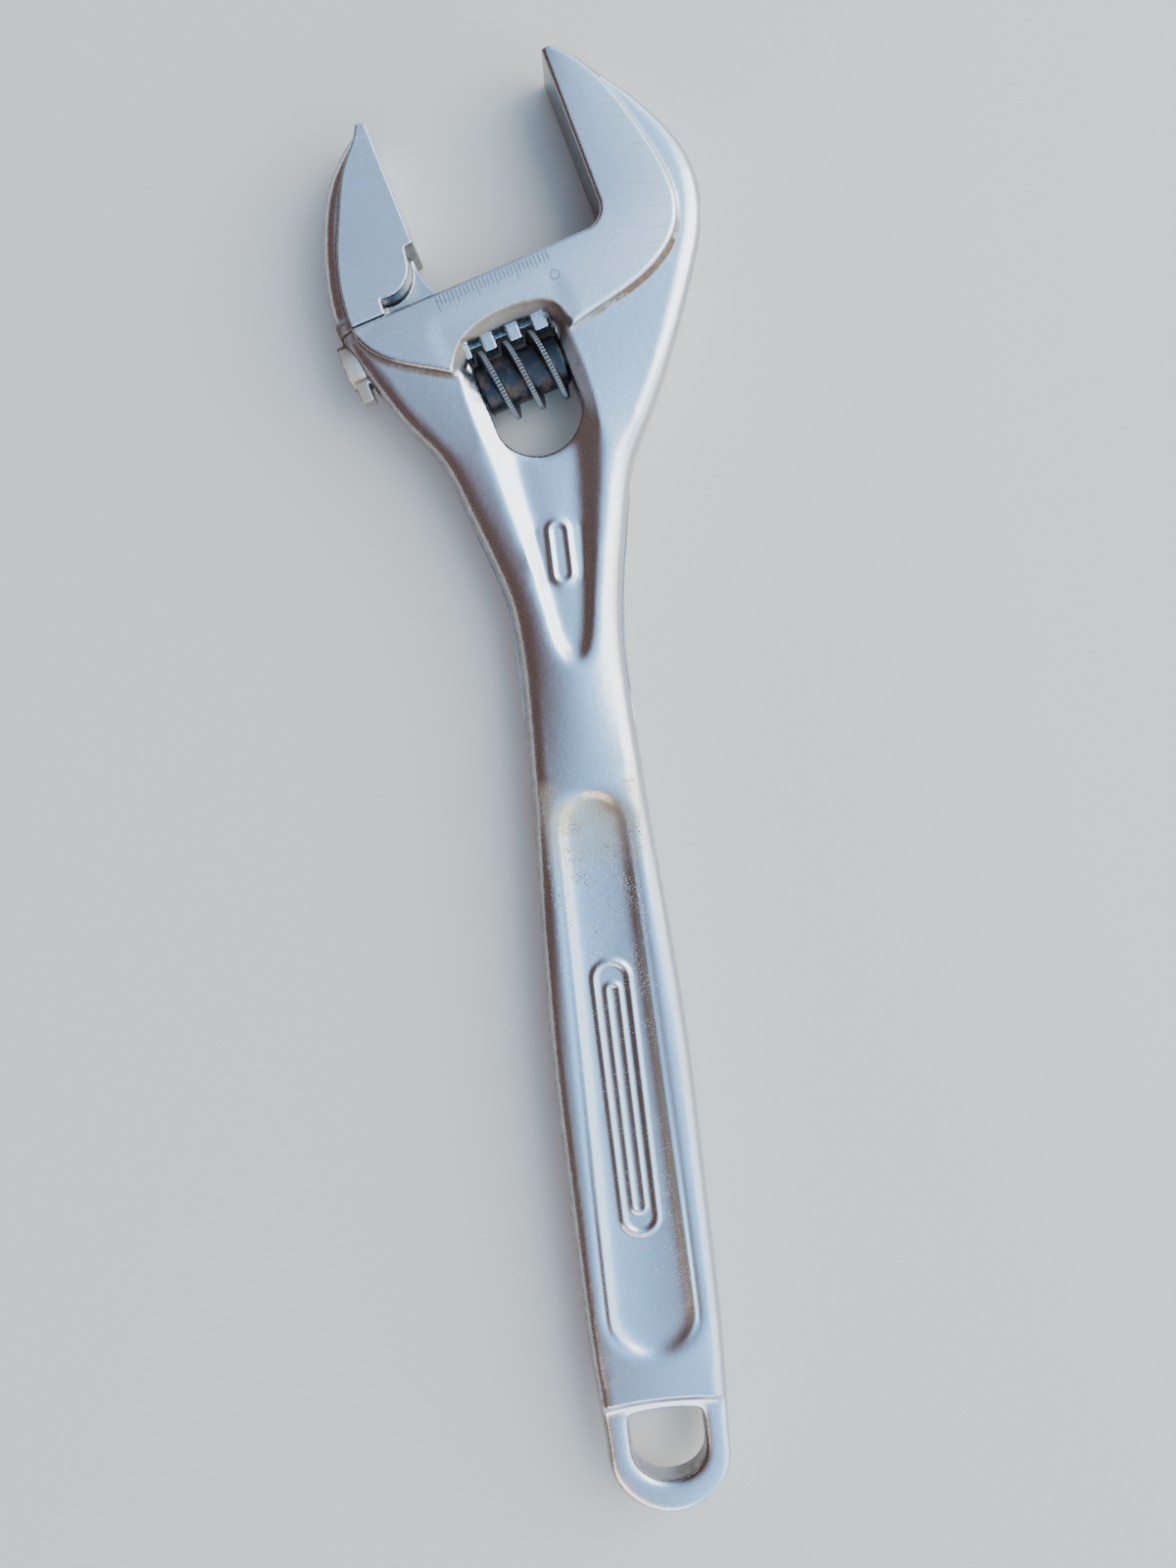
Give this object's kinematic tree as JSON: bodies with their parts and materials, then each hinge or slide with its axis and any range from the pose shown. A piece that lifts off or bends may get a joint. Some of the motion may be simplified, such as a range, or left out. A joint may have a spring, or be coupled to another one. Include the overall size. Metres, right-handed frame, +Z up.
{
  "type": "adjustable wrench",
  "caption": "Forged adjustable wrench with an angled head, a sliding jaw on a round bar and rack, and a knurled worm in a window; chrome finish.",
  "frame": {"origin": "bottom centre of the whole wrench as it lies flat, at the jaw opening of the rest pose", "axes": "+Y along the handle from the hang hole to the jaws, +X to the side of the fixed jaw, +Z up from the surface it lies on"},
  "size_m": [0.0918, 0.378, 0.02],
  "materials": {
    "forging_chrome": "satin",
    "jaw_chrome": "satin",
    "worm_steel": "dark oiled",
    "pin_steel": "turned",
    "spring_steel": "drawn wire"
  },
  "bodies": {
    "body": {"body": "forging_chrome", "worm_pin": "pin_steel", "worm_spring": "spring_steel"},
    "sliding_jaw": {"sliding_jaw": "jaw_chrome"},
    "worm": {"worm": "worm_steel"}
  },
  "joints": [
    {"name": "jaw_slide", "type": "slide", "parent": "body", "child": "sliding_jaw", "axis": [0.9659, 0.2588, 0], "range_m": [0, 0.0436]},
    {"name": "worm_turn", "type": "hinge", "parent": "body", "child": "worm", "pos_m": [-0.00161, 0.11834, 0.01], "axis": [0.9659, 0.2588, 0], "range_deg": [-2420, 0]}
  ],
  "couplings": [
    {"joint": "worm_turn", "follows": "jaw_slide", "rad_per_m": -966.64}
  ]
}
